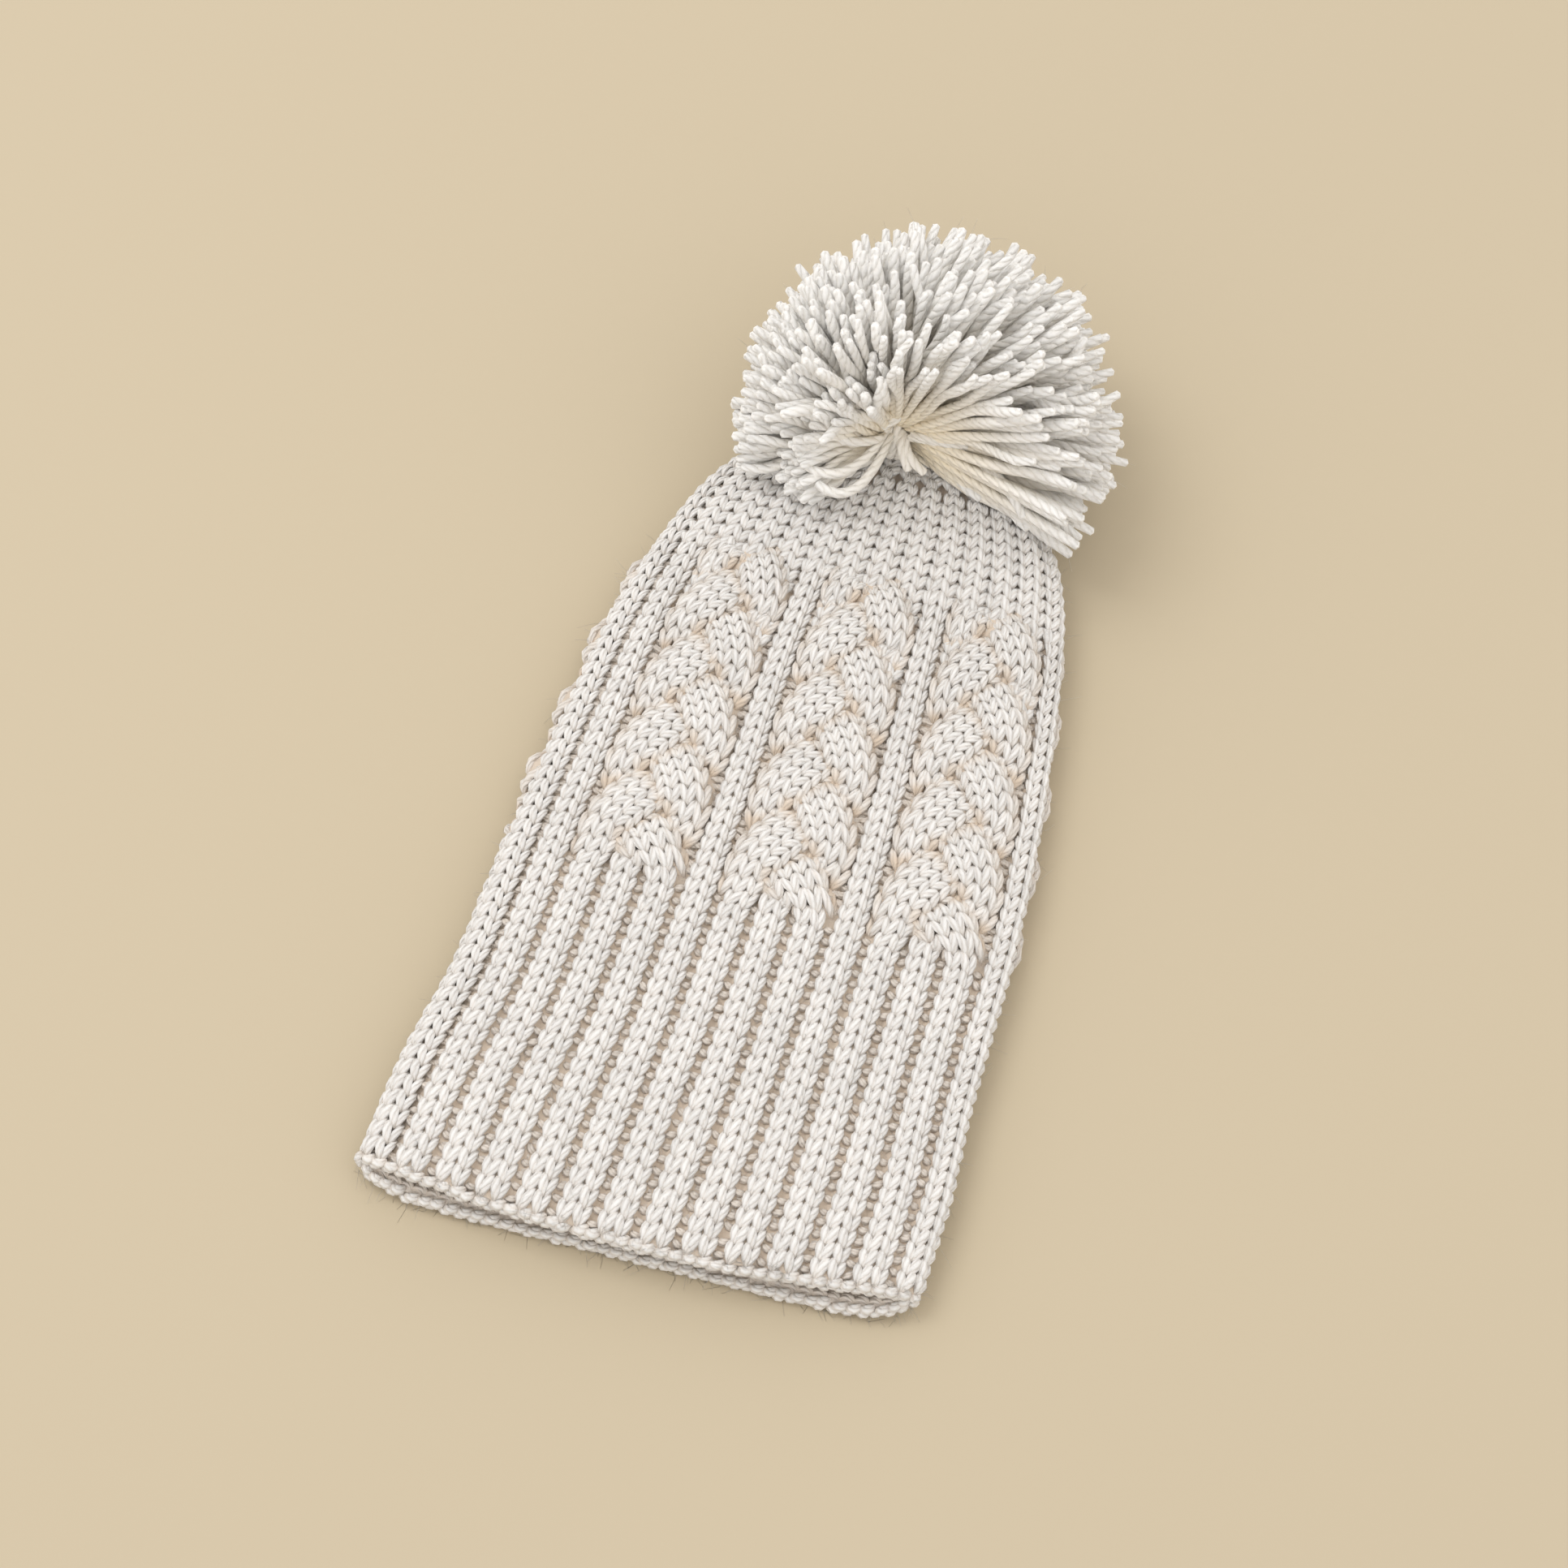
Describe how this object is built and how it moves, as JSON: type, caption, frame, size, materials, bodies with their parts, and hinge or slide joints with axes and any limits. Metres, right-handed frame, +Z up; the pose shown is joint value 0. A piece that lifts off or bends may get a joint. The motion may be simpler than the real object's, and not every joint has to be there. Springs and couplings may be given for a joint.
{
  "type": "cable knit beanie with yarn pompom",
  "caption": "Chunky cable knit beanie lying flat, with a deep ribbed band, a cabled crown gathered at its tip and a big loose yarn pompom tied on.",
  "frame": {"origin": "on the floor, under the middle of the whole beanie as it lies", "axes": "+Y from the mouth of the beanie to the pompom, +X to the right seen from the mouth's end, +Z up from the floor that the beanie lies on"},
  "size_m": [0.1914, 0.374, 0.1038],
  "materials": {
    "knit_wool": "cream two-ply wool knit, matte, with a soft halo of loose fibres and tan shadows between the stitches",
    "pompom_yarn": "off-white plied yarn, cut ends a little frayed, warmer cream towards the tie",
    "tie_yarn": "the same cream plied yarn, wound tight"
  },
  "bodies": {
    "root": {"brim": "knit_wool", "crown": "knit_wool", "pompom": "pompom_yarn", "pompom_tie": "tie_yarn"}
  },
  "joints": []
}
